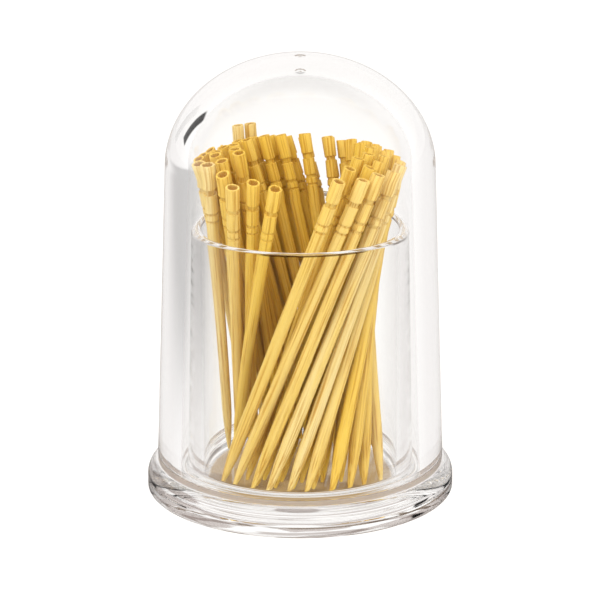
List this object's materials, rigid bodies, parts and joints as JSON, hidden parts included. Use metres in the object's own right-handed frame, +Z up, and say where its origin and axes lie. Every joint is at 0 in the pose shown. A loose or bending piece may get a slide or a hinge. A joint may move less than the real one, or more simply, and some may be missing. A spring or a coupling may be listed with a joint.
{
  "type": "toothpick holder",
  "caption": "Clear toothpick holder: a domed cover lifts off a flanged cup that holds a leaning bundle of turned wooden toothpicks with grooved heads.",
  "frame": {"origin": "centre of the base's underside, on the surface that the holder stands on", "axes": "+Z up along the axis of the cup and the cover; -Y is the front of the picture"},
  "size_m": [0.0544, 0.0544, 0.0786],
  "materials": {
    "clear_cover": "clear, glossy, moulded",
    "clear_base": "clear, glossy, moulded",
    "pick_wood": "turned, unvarnished"
  },
  "bodies": {
    "base": {"cup_base": "clear_base", "toothpick_01": "pick_wood", "toothpick_02": "pick_wood", "toothpick_03": "pick_wood", "toothpick_04": "pick_wood", "toothpick_05": "pick_wood", "toothpick_06": "pick_wood", "toothpick_07": "pick_wood", "toothpick_08": "pick_wood", "toothpick_09": "pick_wood", "toothpick_10": "pick_wood", "toothpick_11": "pick_wood", "toothpick_12": "pick_wood", "toothpick_13": "pick_wood", "toothpick_14": "pick_wood", "toothpick_15": "pick_wood", "toothpick_16": "pick_wood", "toothpick_17": "pick_wood", "toothpick_18": "pick_wood", "toothpick_19": "pick_wood", "toothpick_20": "pick_wood", "toothpick_21": "pick_wood", "toothpick_22": "pick_wood", "toothpick_23": "pick_wood", "toothpick_24": "pick_wood", "toothpick_25": "pick_wood", "toothpick_26": "pick_wood", "toothpick_27": "pick_wood", "toothpick_28": "pick_wood", "toothpick_29": "pick_wood", "toothpick_30": "pick_wood", "toothpick_31": "pick_wood", "toothpick_32": "pick_wood", "toothpick_33": "pick_wood", "toothpick_34": "pick_wood", "toothpick_35": "pick_wood", "toothpick_36": "pick_wood", "toothpick_37": "pick_wood", "toothpick_38": "pick_wood", "toothpick_39": "pick_wood", "toothpick_40": "pick_wood", "toothpick_41": "pick_wood", "toothpick_42": "pick_wood", "toothpick_43": "pick_wood", "toothpick_44": "pick_wood", "toothpick_45": "pick_wood", "toothpick_46": "pick_wood", "toothpick_47": "pick_wood", "toothpick_48": "pick_wood", "toothpick_49": "pick_wood", "toothpick_50": "pick_wood", "toothpick_51": "pick_wood", "toothpick_52": "pick_wood", "toothpick_53": "pick_wood", "toothpick_54": "pick_wood", "toothpick_55": "pick_wood"},
    "lid": {"dome_lid": "clear_cover"}
  },
  "joints": [
    {"name": "lid_lift", "type": "slide", "parent": "base", "child": "lid", "axis": [0, 0, 1], "range_m": [0, 0.07]}
  ]
}
